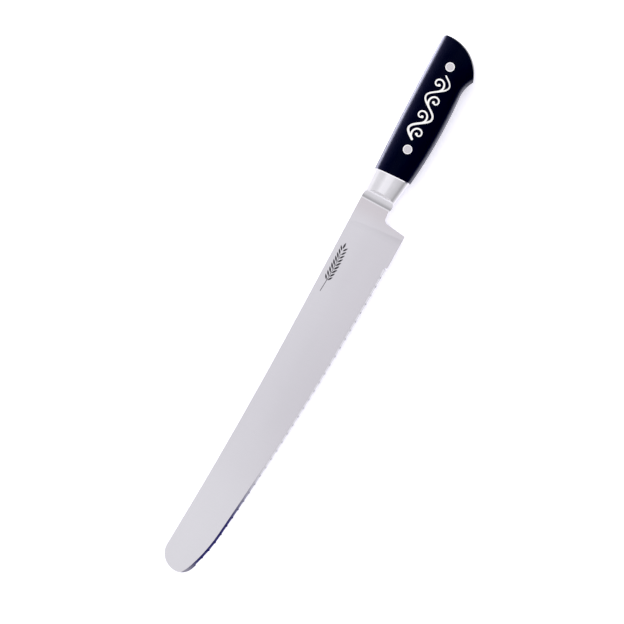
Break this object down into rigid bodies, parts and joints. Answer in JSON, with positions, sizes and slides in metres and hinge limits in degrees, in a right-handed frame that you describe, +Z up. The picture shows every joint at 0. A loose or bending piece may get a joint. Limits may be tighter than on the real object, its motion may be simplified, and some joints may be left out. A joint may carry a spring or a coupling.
{
  "type": "bread knife",
  "caption": "Serrated kitchen knife with a round tip, steel bolster and riveted black handle, for slicing bread and cake.",
  "frame": {"origin": "middle of the underside of the knife's bounding box as it lies on its right side, with the blade's mid-plane level", "axes": "+X along the knife from tip to butt, +Y from the cutting edge to the spine, +Z up out of the left face"},
  "size_m": [0.3876, 0.0402, 0.017],
  "materials": {
    "blade_steel": "fine satin grind along and across the blade, bright edge bevel",
    "bolster_steel": "polished, with a finely ground ramp",
    "scale_plastic": "smooth moulded, near-black",
    "rivet_metal": "ground flush, satin",
    "inlay_metal": "polished flush with the scale"
  },
  "bodies": {
    "root": {"blade": "blade_steel", "bolster_left": "bolster_steel", "bolster_right": "bolster_steel", "scale_left": "scale_plastic", "scale_right": "scale_plastic", "inlay_left": "inlay_metal", "inlay_right": "inlay_metal", "front_rivet_socket": "rivet_metal", "front_rivet_pin": "rivet_metal", "rear_rivet_socket": "rivet_metal", "rear_rivet_pin": "rivet_metal"}
  },
  "joints": []
}
